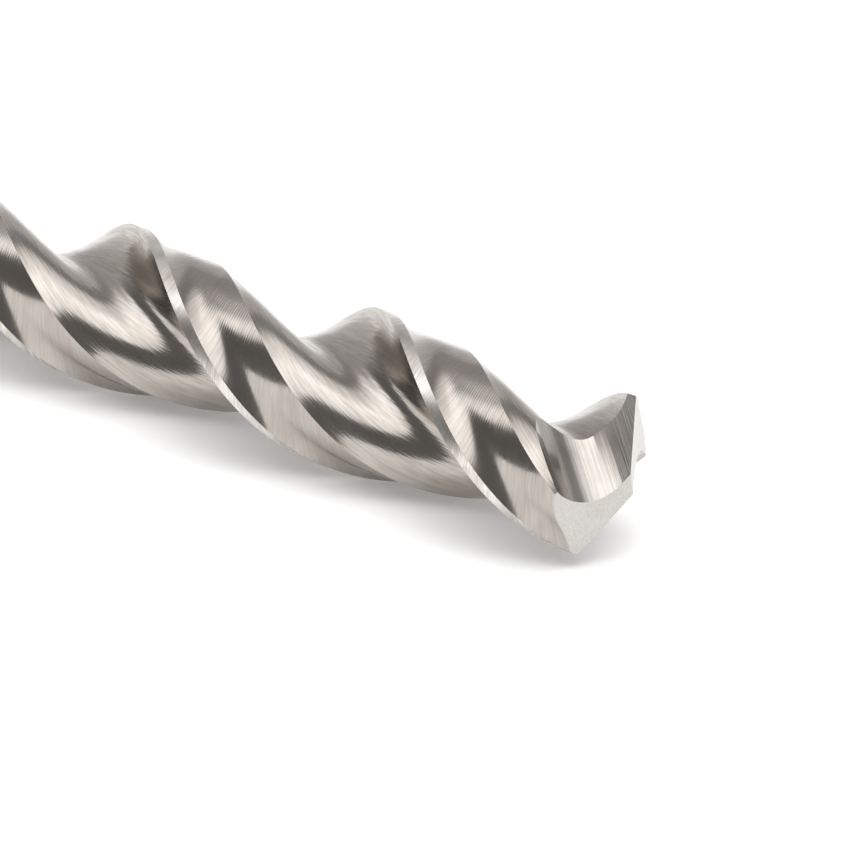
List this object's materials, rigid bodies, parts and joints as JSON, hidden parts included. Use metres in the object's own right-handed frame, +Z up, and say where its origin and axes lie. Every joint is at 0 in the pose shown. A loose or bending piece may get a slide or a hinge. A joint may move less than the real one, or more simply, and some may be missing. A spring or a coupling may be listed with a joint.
{
  "type": "twist drill bit",
  "caption": "Right-hand twist drill with wide helical flutes, narrow margins, cleared lands, a thinned 135 degree point and a plain round shank.",
  "frame": {"origin": "middle of the drill's length, on the surface it lies on", "axes": "+X along the drill's axis toward its point, +Z up"},
  "size_m": [0.103, 0.01, 0.01],
  "materials": {
    "ground_steel": "bright ground"
  },
  "bodies": {
    "root": {"drill": "ground_steel"}
  },
  "joints": []
}
